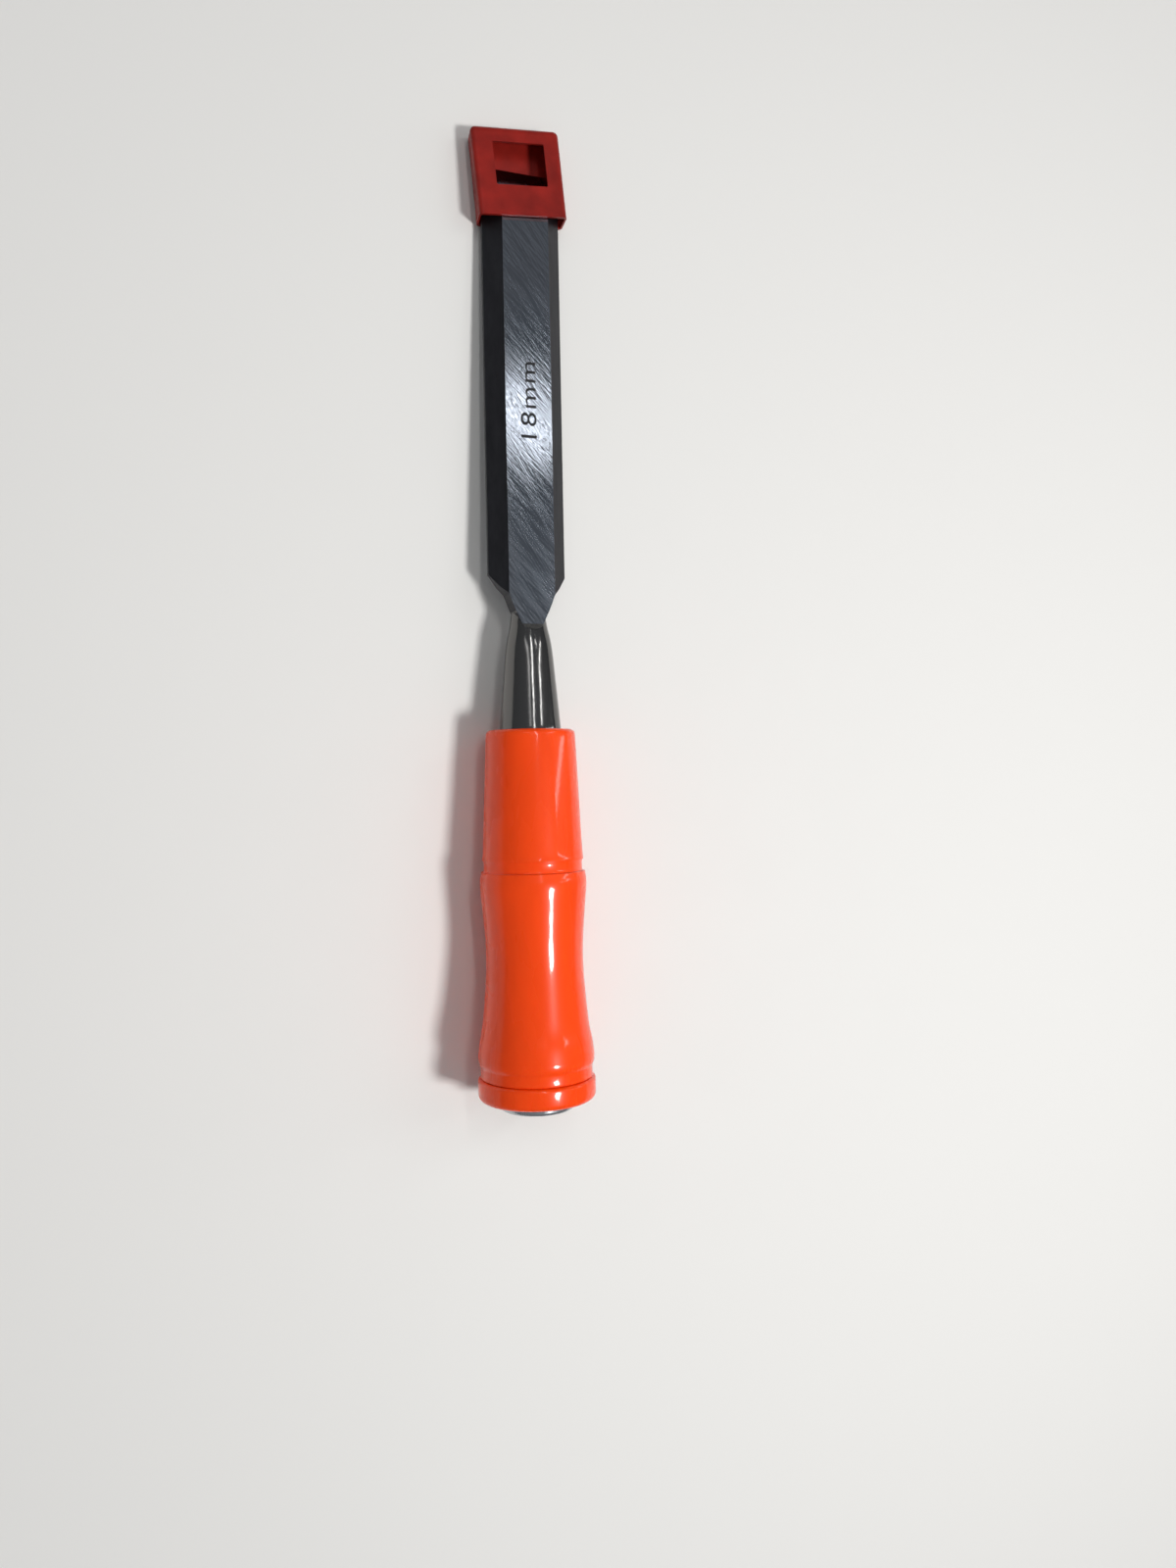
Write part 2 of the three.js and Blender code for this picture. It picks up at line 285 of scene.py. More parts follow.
def outline_block(name, outline, low, high):
    """A block cut to an outline in plan: the outline is drawn point by point, filled and raised."""
    deselect()
    bpy.ops.mesh.primitive_plane_add(size=1, location=(0, 0, 0))
    piece = bpy.context.object
    piece.name = name
    edit("VERT")
    bpy.ops.mesh.merge(type="CENTER")
    here = Vector(outline[0])
    bpy.ops.transform.translate(value=(here.x, here.y, low))
    for point in [*outline[1:], outline[0]]:
        step = Vector(point) - here
        bpy.ops.mesh.extrude_vertices_move(TRANSFORM_OT_translate={"value": (step.x, step.y, 0)})
        here = Vector(point)
    bpy.ops.mesh.select_all(action="SELECT")
    bpy.ops.mesh.remove_doubles(threshold=0.001)
    bpy.ops.mesh.edge_face_add()
    bpy.ops.mesh.extrude_region_move(TRANSFORM_OT_translate={"value": (0, 0, high - low)})
    finish_edit()
    return piece


def square_taper(name, start_half, end_half, start_y, end_y):
    """A square bar along the tool's axis that narrows from start_y to end_y."""
    middle = (start_y + end_y) / 2
    piece = block(name, (2 * start_half, start_y - end_y, 2 * start_half), (0, middle, 0))
    pick("faces", lambda face: face.normal.y < -0.9)
    narrow = end_half / start_half
    bpy.ops.transform.resize(value=(narrow, 1, narrow), center_override=(0, end_y, 0))
    finish_edit()
    return piece


def apply(piece, kind, **values):
    """Adds one modifier with its values and applies it."""
    focus(piece)
    modifier = piece.modifiers.new(kind.lower(), kind)
    for name, value in values.items():
        setattr(modifier, name, value)
    bpy.ops.object.modifier_apply(modifier=modifier.name)
    return piece


def combine(piece, other, operation):
    """Joins the other piece to this one, or cuts it out, and uses it up."""
    apply(piece, "BOOLEAN", object=other, operation=operation, solver="EXACT")
    bpy.data.objects.remove(other)
    weld, sliver = 0.002, 0.001  # mm
    edit("VERT")
    bpy.ops.mesh.remove_doubles(threshold=weld)
    bpy.ops.mesh.dissolve_degenerate(threshold=sliver)
    finish_edit()
    return piece


def smooth_run(points, steps=8):
    """A Catmull-Rom curve through the points, with that many stretches between each two."""
    padded = [points[0], *points, points[-1]]
    run = []
    for before, start, end, after in zip(padded, padded[1:], padded[2:], padded[3:]):
        for i in range(steps):
            t = i / steps
            run.append(tuple(
                0.5 * (
                    2 * b + (c - a) * t
                    + (2 * a - 5 * b + 4 * c - d) * t * t
                    + (3 * b - a - 3 * c + d) * t ** 3
                )
                for a, b, c, d in zip(before, start, end, after)
            ))
    return [*run, points[-1]]


def arc(middle, radius, start, end, steps=6):
    """Points of an arc from one angle to another, in degrees from the outward direction."""
    angles = [math.radians(start + (end - start) * i / steps) for i in range(steps + 1)]
    return [(middle[0] + radius * math.cos(a), middle[1] + radius * math.sin(a)) for a in angles]


def check_closed(piece):
    mesh = bmesh.new()
    mesh.from_mesh(piece.data)
    open_edges = sum(1 for edge in mesh.edges if not edge.is_manifold)
    volume = mesh.calc_volume(signed=True)
    mesh.free()
    if open_edges or volume <= 0:
        raise RuntimeError(f"{piece.name} isn't closed: {open_edges} open edges, volume {volume:.3f}")


def lay(piece, axes, body, node=None, flats=False):
    """Lays a finished piece where it belongs, leaves its object at the origin, and tells the frame.

    Flats keep their own normals, so that they reflect as flats beside their rounded edges.
    """
    check_closed(piece)
    focus(piece)
    piece.matrix_world = axes
    bpy.ops.object.transform_apply(location=True, rotation=True, scale=True)
    bpy.ops.object.shade_smooth_by_angle(angle=math.radians(30))
    if flats:
        apply(piece, "WEIGHTED_NORMAL", mode="FACE_AREA", weight=100, keep_sharp=True)
    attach(piece, body)
    if node:
        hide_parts(node)
    return piece


# ---------------------------------------------------------------- materials

def add(tree, kind, links=None, values=None, **options):
    """Adds one shader node, with its options, the values of its sockets and the links into them."""
    node = tree.nodes.new("ShaderNode" + kind)
    for name, value in options.items():
        setattr(node, name, value)
    for socket, value in (values or {}).items():
        node.inputs[socket].default_value = value
    for socket, source in (links or {}).items():
        tree.links.new(source, node.inputs[socket])
    return node


def new_material(name):
    """A material with only its shader and its output."""
    material = bpy.data.materials.new(name)
    material.use_nodes = True
    tree = material.node_tree
    tree.nodes.clear()
    shader = add(tree, "BsdfPrincipled")
    add(tree, "OutputMaterial", {"Surface": shader.outputs["BSDF"]})
    return material, tree, shader


def piece_coordinates(tree, axes, turn=(0, 0, 0), stretch=(1, 1, 1)):
    """Millimetres on a piece's own axes, then turned and divided by stretch, for a pattern to follow."""
    back = axes.inverted()
    here = add(tree, "TexCoord").outputs["Object"]
    own = add(
        tree, "Mapping", {"Vector": here},
        {"Location": back.translation, "Rotation": back.to_euler(), "Scale": (MM, MM, MM)},
    ).outputs["Vector"]
    turned = add(tree, "Mapping", {"Vector": own}, {"Rotation": turn}).outputs["Vector"]
    scale = tuple(1 / s for s in stretch)
    return add(tree, "Mapping", {"Vector": turned}, {"Scale": scale}).outputs["Vector"]


def set_shader(shader, **values):
    for name, value in values.items():
        shader.inputs[name.replace("_", " ")].default_value = value


def ground_steel(axes, base):
    """Chrome vanadium steel, surface ground and hand finished on a belt: a cool grey with a soft sheen,
    crossed by fine straight scratches at a slant."""
    material, tree, shader = new_material("Ground chrome vanadium steel")
    slant = math.radians(58)
    scratch_width, scratch_length = 0.3, 14  # mm; real grit lines are finer, drawn as coarse as they show
    fine = piece_coordinates(tree, axes, (0, 0, slant), (scratch_length, scratch_width, scratch_length))
    cross = piece_coordinates(tree, axes, (0, 0, slant - 0.3), (9, 0.34, 9))
    cloudy = piece_coordinates(tree, axes, (0, 0, slant), (9, 3, 9))
    lines = add(tree, "TexNoise", {"Vector": fine}, {"Scale": 1.0, "Detail": 0.0})
    strays = add(tree, "TexNoise", {"Vector": cross}, {"Scale": 1.0, "Detail": 0.0})
    clouds = add(tree, "TexNoise", {"Vector": cloudy}, {"Scale": 1.0, "Detail": 3.0, "Roughness": 0.55})
    both = add(tree, "Math", {0: lines.outputs["Fac"], 1: strays.outputs["Fac"]}, operation="ADD")
    dull = add(
        tree, "MapRange", {"Value": both.outputs[0]},
        {"From Min": 0.75, "From Max": 1.25, "To Min": 0.09, "To Max": 0.17},
    )
    worn = add(
        tree, "MapRange", {"Value": clouds.outputs["Fac"]},
        {"From Min": 0.3, "From Max": 0.7, "To Min": -0.015, "To Max": 0.015},
    )
    rough = add(tree, "Math", {0: dull.outputs[0], 1: worn.outputs[0]}, operation="ADD")
    shade = add(
        tree, "MapRange", {"Value": both.outputs[0]},
        {"From Min": 0.8, "From Max": 1.2, "To Min": 0.86, "To Max": 1.1},
    )
    tint = add(tree, "VectorMath", {"Scale": shade.outputs[0]}, {0: base[:3]}, operation="SCALE")
    bump = add(tree, "Bump", {"Height": both.outputs[0]}, {"Strength": 0.45, "Distance": 20 * MICRON})
    tree.links.new(tint.outputs[0], shader.inputs["Base Color"])
    tree.links.new(rough.outputs[0], shader.inputs["Roughness"])
    tree.links.new(bump.outputs[0], shader.inputs["Normal"])
    set_shader(shader, Metallic=1.0)
    return material


def bevel_steel_painted_shade(axes, base):
    """The same steel on the side bevels, ground lengthwise, its colour set dark as painted shade: an even,
    dark satin.
    """
    material, tree, shader = new_material("Dark ground side bevels")
    along = piece_coordinates(tree, axes, (0, 0, 0), (0.25, 40, 0.25))
    spots = piece_coordinates(tree, axes, (0, 0, 0), (2.5, 7, 2.5))
    lines = add(tree, "TexNoise", {"Vector": along}, {"Scale": 1.0, "Detail": 3.0, "Roughness": 0.6})
    blooms = add(tree, "TexNoise", {"Vector": spots}, {"Scale": 1.0, "Detail": 4.0, "Roughness": 0.6})
    rough = add(
        tree, "MapRange", {"Value": lines.outputs["Fac"]},
        {"From Min": 0.3, "From Max": 0.7, "To Min": 0.42, "To Max": 0.52},
    )
    shade = add(
        tree, "MapRange", {"Value": blooms.outputs["Fac"]},
        {"From Min": 0.3, "From Max": 0.7, "To Min": 0.85, "To Max": 1.15},
    )
    tint = add(tree, "VectorMath", {"Scale": shade.outputs[0]}, {0: base[:3]}, operation="SCALE")
    bump = add(tree, "Bump", {"Height": lines.outputs["Fac"]}, {"Strength": 0.15, "Distance": 20 * MICRON})
    tree.links.new(tint.outputs[0], shader.inputs["Base Color"])
    tree.links.new(rough.outputs[0], shader.inputs["Roughness"])
    tree.links.new(bump.outputs[0], shader.inputs["Normal"])
    set_shader(shader, Metallic=1.0)
    return material


def neck_steel_painted_shade(axes, base):
    """The neck, forged round and polished on a wheel along its length: bright long broken streaks on a
    colour set dark as painted shade.
    """
    material, tree, shader = new_material("Wheel polished steel")
    along = piece_coordinates(tree, axes, (0, 0, 0), (0.5, 14, 0.5))
    ripples = piece_coordinates(tree, axes, (0, 0, 0), (1.6, 1.1, 1.6))
    lines = add(tree, "TexNoise", {"Vector": along}, {"Scale": 1.0, "Detail": 3.0, "Roughness": 0.6})
    waves = add(tree, "TexNoise", {"Vector": ripples}, {"Scale": 1.0, "Detail": 2.0, "Roughness": 0.5})
    rough = add(
        tree, "MapRange", {"Value": lines.outputs["Fac"]},
        {"From Min": 0.3, "From Max": 0.7, "To Min": 0.09, "To Max": 0.17},
    )
    height = add(tree, "Math", {0: waves.outputs["Fac"], 1: lines.outputs["Fac"]}, operation="ADD")
    bump = add(tree, "Bump", {"Height": height.outputs[0]}, {"Strength": 0.25, "Distance": 40 * MICRON})
    tree.links.new(rough.outputs[0], shader.inputs["Roughness"])
    tree.links.new(bump.outputs[0], shader.inputs["Normal"])
    set_shader(shader, Base_Color=base, Metallic=1.0)
    return material


def forged_scale(axes, base):
    """The tang as it left the forge: black iron scale, rough and pitted."""
    material, tree, shader = new_material("Forge scale")
    pits = piece_coordinates(tree, axes, (0, 0, 0), (0.8, 0.8, 0.8))
    noise = add(tree, "TexNoise", {"Vector": pits}, {"Scale": 1.0, "Detail": 6.0, "Roughness": 0.7})
    bump = add(tree, "Bump", {"Height": noise.outputs["Fac"]}, {"Strength": 0.6, "Distance": 100 * MICRON})
    rough = add(tree, "MapRange", {"Value": noise.outputs["Fac"]}, {"To Min": 0.5, "To Max": 0.8})
    tree.links.new(rough.outputs[0], shader.inputs["Roughness"])
    tree.links.new(bump.outputs[0], shader.inputs["Normal"])
    set_shader(shader, Base_Color=base, Metallic=0.6)
    return material


def turned_steel(axes, base):
    """Mild steel turned on a lathe and polished: bright, with fine rings round the axis."""
    material, tree, shader = new_material("Turned polished steel")
    own = piece_coordinates(tree, axes)
    split = add(tree, "SeparateXYZ", {"Vector": own})
    across = add(tree, "CombineXYZ", {"X": split.outputs["X"], "Y": split.outputs["Z"]})
    radius = add(tree, "VectorMath", {0: across.outputs[0]}, operation="LENGTH")
    rings_per_mm = 3.0  # a lathe leaves ten or more; drawn as coarse as they show
    spread = add(tree, "Math", {0: radius.outputs["Value"]}, {1: rings_per_mm}, operation="MULTIPLY")
    ring_place = add(tree, "CombineXYZ", {"X": spread.outputs[0]})
    rings = add(tree, "TexNoise", {"Vector": ring_place.outputs[0]}, {"Scale": 1.0, "Detail": 3.0})
    dents = add(tree, "TexNoise", {"Vector": own}, {"Scale": 0.6, "Detail": 4.0, "Roughness": 0.6})
    rough = add(
        tree, "MapRange", {"Value": dents.outputs["Fac"]},
        {"From Min": 0.3, "From Max": 0.7, "To Min": 0.14, "To Max": 0.30},
    )
    bump = add(tree, "Bump", {"Height": rings.outputs["Fac"]}, {"Strength": 0.25, "Distance": 30 * MICRON})
    tree.links.new(rough.outputs[0], shader.inputs["Roughness"])
    tree.links.new(bump.outputs[0], shader.inputs["Normal"])
    set_shader(shader, Base_Color=base, Metallic=1.0)
    return material


def moulded_plastic(axes, base):
    """Cellulose plastic, injection moulded and glossy: a clean saturated orange red, slightly deep,
    with the faint waviness of a thick moulding."""
    material, tree, shader = new_material("Glossy moulded plastic")
    flow = piece_coordinates(tree, axes, (0, 0, 0), (7, 22, 7))
    peel = piece_coordinates(tree, axes, (0, 0, 0), (0.7, 0.7, 0.7))
    swirls = add(tree, "TexNoise", {"Vector": flow}, {"Scale": 1.0, "Detail": 3.0, "Distortion": 0.4})
    skin = add(tree, "TexNoise", {"Vector": peel}, {"Scale": 1.0, "Detail": 2.0})
    shade = add(
        tree, "MapRange", {"Value": swirls.outputs["Fac"]},
        {"From Min": 0.25, "From Max": 0.75, "To Min": 0.9, "To Max": 1.06},
    )
    tint = add(tree, "VectorMath", {"Scale": shade.outputs[0]}, {0: base[:3]}, operation="SCALE")
    rough = add(
        tree, "MapRange", {"Value": swirls.outputs["Fac"]},
        {"From Min": 0.25, "From Max": 0.75, "To Min": 0.24, "To Max": 0.32},
    )
    bump = add(tree, "Bump", {"Height": skin.outputs["Fac"]}, {"Strength": 0.03, "Distance": 50 * MICRON})
    tree.links.new(tint.outputs[0], shader.inputs["Base Color"])
    tree.links.new(rough.outputs[0], shader.inputs["Roughness"])
    tree.links.new(bump.outputs[0], shader.inputs["Normal"])
    set_shader(shader, IOR=1.49, Subsurface_Weight=0.12, Subsurface_Scale=0.002)
    set_shader(shader, Specular_IOR_Level=0.15, Coat_Weight=0.45, Coat_Roughness=0.07)
    shader.inputs["Subsurface Radius"].default_value = (1.0, 0.25, 0.08)
    return material


def soft_vinyl(axes, base):
    """Plasticised PVC, dip moulded and translucent: a deep red that lets the steel show through faintly,
    with a waxy, slightly uneven skin."""
    material, tree, shader = new_material("Translucent soft vinyl")
    slow = piece_coordinates(tree, axes, (0, 0, 0), (5, 5, 5))
    skin = piece_coordinates(tree, axes, (0, 0, 0), (0.9, 0.9, 0.9))
    clouds = add(tree, "TexNoise", {"Vector": slow}, {"Scale": 1.0, "Detail": 3.0, "Roughness": 0.5})
    grain = add(tree, "TexNoise", {"Vector": skin}, {"Scale": 1.0, "Detail": 3.0, "Roughness": 0.6})
    shade = add(
        tree, "MapRange", {"Value": clouds.outputs["Fac"]},
        {"From Min": 0.3, "From Max": 0.7, "To Min": 0.72, "To Max": 1.16},
    )
    tint = add(tree, "VectorMath", {"Scale": shade.outputs[0]}, {0: base[:3]}, operation="SCALE")
    rough = add(
        tree, "MapRange", {"Value": grain.outputs["Fac"]},
        {"From Min": 0.3, "From Max": 0.7, "To Min": 0.34, "To Max": 0.46},
    )
    bump = add(tree, "Bump", {"Height": grain.outputs["Fac"]}, {"Strength": 0.12, "Distance": 100 * MICRON})
    tree.links.new(tint.outputs[0], shader.inputs["Base Color"])
    tree.links.new(rough.outputs[0], shader.inputs["Roughness"])
    tree.links.new(bump.outputs[0], shader.inputs["Normal"])
    set_shader(shader, IOR=1.35, Specular_IOR_Level=0.35, Transmission_Weight=0.32)
    return material


def etched_figures(base):
    """Electrochemical etching: dark oxide, matt, with a little of the steel's grain left in it."""
    material, tree, shader = new_material("Dark electro etching")
    place = add(tree, "TexCoord").outputs["Object"]
    grain_size = 0.00015  # metres
    noise = add(tree, "TexNoise", {"Vector": place}, {"Scale": 1 / grain_size, "Detail": 2.0})
    rough = add(tree, "MapRange", {"Value": noise.outputs["Fac"]}, {"To Min": 0.45, "To Max": 0.75})
    shade = add(tree, "MapRange", {"Value": noise.outputs["Fac"]}, {"To Min": 0.7, "To Max": 1.6})
    tint = add(tree, "VectorMath", {"Scale": shade.outputs[0]}, {0: base[:3]}, operation="SCALE")
    tree.links.new(tint.outputs[0], shader.inputs["Base Color"])
    tree.links.new(rough.outputs[0], shader.inputs["Roughness"])
    set_shader(shader, Metallic=0.4)
    return material


def bench_top(base):
    """The bench: pale, matt, sealed board."""
    material, tree, shader = new_material("Pale sealed board")
    place = add(tree, "TexCoord").outputs["Object"]
    noise = add(tree, "TexNoise", {"Vector": place}, {"Scale": 60.0, "Detail": 3.0})
    rough = add(tree, "MapRange", {"Value": noise.outputs["Fac"]}, {"To Min": 0.6, "To Max": 0.75})
    tree.links.new(rough.outputs[0], shader.inputs["Roughness"])
    set_shader(shader, Base_Color=base)
    return material


# ---------------------------------------------------------------- the blade's shape

def shoulder_outline(blade):
    """Plan of what the shoulders lose on the right side, out to clear of the blade."""
    edge = blade.width * MM / 2
    flat = blade.flat_width * MM / 2
    shoulder, flat_end = blade.shoulder * MM, blade.flat_end * MM
    slope = 4.4  # mm along the tool, from the blade's full width to where the flat narrows
    flat_shoulder = shoulder - slope
    height = (blade.back + blade.thickness) * MM
    flat_end_half = math.sqrt((blade.neck_waist * MM) ** 2 - height ** 2)
    sweep = smooth_run([
        (flat, flat_shoulder),
        (flat - 1.3, (flat_shoulder + flat_end) / 2),
        (flat_end_half, flat_end),
    ])
    clear = 5
    return [
        (edge + clear, shoulder + 1.2),
        (edge + 0.9, shoulder + 1.1),
        (edge, shoulder),
        (flat + 1.6, flat_shoulder + 1.6),
        *sweep,
        (flat_end_half - 0.9, flat_end - 2),
        (flat_end_half - 0.9, flat_end - clear),
        (edge + clear, flat_end - clear),
    ]


def neck_profile(blade):
    """Outline of the neck, from its foot in the handle to where it runs out under the blade."""
    foot, waist = blade.neck_foot * MM, blade.neck_waist * MM
    flat_end, shoulder = blade.flat_end * MM, blade.shoulder * MM
    sweep = smooth_run([
        (foot, 0),
        (foot - 0.95, 10.4),
        (waist + 1, flat_end - 4.9),
        (waist, flat_end),
        (waist - 0.9, flat_end + 5.5),
        (-blade.back * MM, shoulder + 1),
    ])
    return [(foot - 0.4, -3), (foot, -2.6), *sweep, (0.3, shoulder + 1.3)]


def blade_bar(blade):
    """The bevel-edged bar: a flat bar, its top raised and drawn in past the flat, its end ground off."""
    width, flat = blade.width * MM, blade.flat_width * MM
    back, thickness = blade.back * MM, blade.thickness * MM
    lap = 1.5  # mm of the bar inside the neck
    land, tip, start = blade.side_land * MM, blade.tip * MM, blade.flat_end * MM - lap
    bar = block("forged_blade", (width, tip - start, land), (0, (tip + start) / 2, back + land / 2))
    pick("faces", lambda face: face.normal.z > 0.9)
    spare = 0.4  # above the flat, ground away later
    rise = thickness - land
    narrow = (width - (width - flat) * (rise + spare) / rise) / width
    bpy.ops.mesh.extrude_region_move(TRANSFORM_OT_translate={"value": (0, 0, rise + spare)})
    bpy.ops.transform.resize(value=(narrow, 1, 1), center_override=(0, (tip + start) / 2, back + thickness))
    bpy.ops.mesh.select_all(action="SELECT")
    slope = blade.cutting_angle
    unhoned = 0.1
    bpy.ops.mesh.bisect(
        plane_co=(0, tip, back + unhoned), plane_no=(0, math.sin(slope), math.cos(slope)),
        use_fill=True, clear_outer=True,
    )
    finish_edit()
    return bar


def forge_blade(blade):
    bar = blade_bar(blade)
    outline = shoulder_outline(blade)
    mirrored = [(-x, y) for x, y in outline]
    for side, points in (("right", outline), ("left", mirrored)):
        combine(bar, outline_block(f"{side}_shoulder_cutter", points, -20, 20), "DIFFERENCE")
    neck = turn("neck", neck_profile(blade))
    combine(bar, neck, "UNION")
    flat_top = (blade.back + blade.thickness) * MM - HAIR
    flat_end, tip = blade.flat_end * MM, blade.tip * MM
    runout = 1.2  # length of the small step where the flat runs out into the neck
    clear = 10
    middle = (0, (tip + clear + flat_end) / 2, flat_top + clear / 2)
    above = block("above_the_flat", (4 * clear, tip + clear - flat_end, clear), middle)
    pick("edges", lambda edge: all(v.co.y < flat_end + 0.01 and v.co.z > flat_top + 1 for v in edge.verts))
    bpy.ops.transform.translate(value=(0, -runout * clear, 0))
    finish_edit()
    combine(bar, above, "DIFFERENCE")
    tang = square_taper("tang", TANG_ROOT, TANG_END, 0, -blade.tang_depth * MM)
    combine(bar, tang, "UNION")
    return bar


def wear_edges(piece, blade):
    """Rounds the blade's long edges and its shoulders a little, as grinding and handling do."""
    focus(piece)
    edit("EDGE")
    flat_top = (blade.back + blade.thickness) * MM - HAIR
    start = blade.flat_end * MM + 0.3

    def is_long_edge(edge):
        if len(edge.link_faces) != 2 or edge.calc_face_angle(0) < math.radians(20):
            return False
        one, other = (v.co for v in edge.verts)
        on_flat = all(abs(co.z - flat_top) < 0.01 and co.y > start for co in (one, other))
        return on_flat and abs(one.y - other.y) > 0.05

    pick("edges", is_long_edge)
    bpy.ops.mesh.bevel(offset=blade.worn_edge * MM, segments=2, affect="EDGES", clamp_overlap=True)
    finish_edit()


def finish_blade_faces(piece, blade, materials):
    """Gives each stretch of the forging its own finish; the bevels' dark colour on the side bevels, lands
    and cut shoulders is painted shade.
    """
    for material in materials:
        piece.data.materials.append(material)
    ground, bevels, neck, scale = range(4)
    flat_end, waist = blade.flat_end * MM, blade.neck_waist * MM
    cutting_bevel_start = blade.tip * MM - 10
    polish_start = -2.5  # mm, just inside the handle
    back, top, worn = blade.back * MM, (blade.back + blade.thickness) * MM, blade.worn_edge * MM
    for face in piece.data.polygons:
        normal, middle = face.normal, face.center
        on_flat = normal.z > 0.99 and abs(middle.z - top) < 0.1
        on_worn_edge = normal.z > 0.8 and abs(middle.z - top) < worn and middle.y > flat_end + 0.3
        on_cutting_bevel = normal.y > 0.3 and middle.y > cutting_bevel_start
        on_back = normal.z < -0.99 and abs(middle.z - back) < 0.01
        off_axis = math.hypot(middle.x, middle.z)
        on_neck = off_axis < waist + 0.02 and abs(normal.z * off_axis - middle.z) < 0.15 * off_axis
        if middle.y < polish_start:
            face.material_index = scale
        elif on_flat or on_worn_edge or on_cutting_bevel or on_back:
            face.material_index = ground
        elif middle.y > flat_end and not on_neck:
            # painted shade: the bevel steel's dark colour stands for the dark surroundings these faces
            # reflect
            face.material_index = bevels
        else:
            face.material_index = neck


# ---------------------------------------------------------------- operators

class CHISEL_OT_blade(bpy.types.Operator):
    """Forge and grind the blade, with its neck and tang"""

    bl_idname = "chisel.blade"
    bl_label = "Blade"

    def execute(self, context):
        blade = settings().blade
        axes = tool_lies()
        piece = forge_blade(blade)
        wear_edges(piece, blade)
        finish_blade_faces(piece, blade, [
            ground_steel(axes, blade.ground),
            bevel_steel_painted_shade(axes, blade.bevels),
            neck_steel_painted_shade(axes, blade.neck),
            forged_scale(axes, blade.scale),
        ])
        lay(piece, axes, "chisel", "blade", flats=True)
        return {"FINISHED"}


def handle_profile(handle, cap):
    """Outline of the handle from the floor of the neck's seat, round the outside, to the cap's recess."""
    rim, butt = handle.rim * MM - HAIR, -handle.length * MM
    seat_radius = (settings().blade.neck_foot + handle.gap) * MM
    recess_radius = (cap.radius + handle.gap) * MM
    front = [(9.3, 0), *arc((9.05, -0.98), 0.98, 75, 5)]
    taper = smooth_run([(10.06, -1.1), (10.53, -12), (11.13, -25.6), (11.38, -28.8)])
    front_band = [
        *arc((11.08, -29.1), 0.3, 10, 70, 3),
        (11.05, -29.6), (11.03, -29.75), (11.06, -31.2), (11.1, -31.4),
    ]
    front_lip = arc((11.4, -31.95), 0.38, 120, 30, 4)
    grip = smooth_run([
        (11.84, -32.6), (11.97, -35), (11.4, -41.5), (10.93, -48.5),
        (11.03, -55), (11.88, -65), (12.68, -69.6), (13.08, -72.9),
    ])
    rear_lip = [(13.05, -73.8), (12.95, -74.3), (12.75, -74.7)]
    rear_band = [(12.6, -74.95), (12.56, -75.2), (12.56, -77.1), (12.62, -77.4)]
    rim_front = arc((rim - 0.75, -78.4), 0.75, 120, 0, 6)
    rim_back = arc((rim - 1.3, butt + 1.3), 1.3, 0, -90, 8)
    recess = [
        (recess_radius + 0.3, butt), (recess_radius, butt + 0.3), (recess_radius, butt + cap.seat * MM),
    ]
    seat = [(seat_radius, -handle.seat * MM), (seat_radius, -0.25), (seat_radius + 0.25, 0)]
    return [
        *seat, *front, *taper, *front_band, *front_lip, *grip,
        *rear_lip, *rear_band, *rim_front, *rim_back, *recess,
    ]


class CHISEL_OT_handle(bpy.types.Operator):
    """Turn the handle, with its bands, the seats for the neck and the cap, and the tang's socket"""

    bl_idname = "chisel.handle"
    bl_label = "Handle"

    def execute(self, context):
        handle, cap = settings().handle, settings().cap
        axes = tool_lies()
        piece = turn("moulded_handle", handle_profile(handle, cap))
        gap = handle.gap * MM
        depth = settings().blade.tang_depth * MM + gap
        combine(piece, square_taper("socket", TANG_ROOT + gap, TANG_END + gap, 0, -depth), "DIFFERENCE")
        floor = (cap.seat - handle.length) * MM
        hole_radius = cap.spigot * MM + gap
        hole_end = floor + cap.spigot_length * MM + gap
        hole = turn("spigot_hole", [(hole_radius, floor - 1), (hole_radius, hole_end)], 64)
        combine(piece, hole, "DIFFERENCE")
        piece.data.materials.append(moulded_plastic(axes, handle.plastic))
        lay(piece, axes, "chisel", "handle")
        return {"FINISHED"}


class CHISEL_OT_strike_cap(bpy.types.Operator):
    """Turn the steel strike cap with its barbed spigot"""

    bl_idname = "chisel.strike_cap"
    bl_label = "Strike cap"

    def execute(self, context):
        handle, cap = settings().handle, settings().cap
        axes = tool_lies()
        radius = cap.radius * MM - HAIR
        face = -(handle.length + cap.stands_out) * MM
        under = (cap.seat - handle.length - handle.gap) * MM
        edge = 0.75
        struck = [(radius - 3, face), *reversed(arc((radius - edge, face + edge), edge, 0, -90, 8))]
        spigot, pitch, barb = cap.spigot * MM, cap.spigot_length * MM / cap.barbs, 0.45
        rings = []
        for i in range(cap.barbs):
            rings += [(spigot - barb, under + i * pitch), (spigot, under + i * pitch + barb)]
        end = [(spigot - barb, under + cap.spigot_length * MM)]
        piece = turn("turned_cap", [*struck, (radius, under - 0.3), (radius - 0.3, under), *rings, *end])
        piece.data.materials.append(turned_steel(axes, cap.steel))
        lay(piece, axes, "chisel", "strike_cap")
        return {"FINISHED"}


def upright(edge):
    return abs(edge.verts[0].co.z - edge.verts[1].co.z) > 1


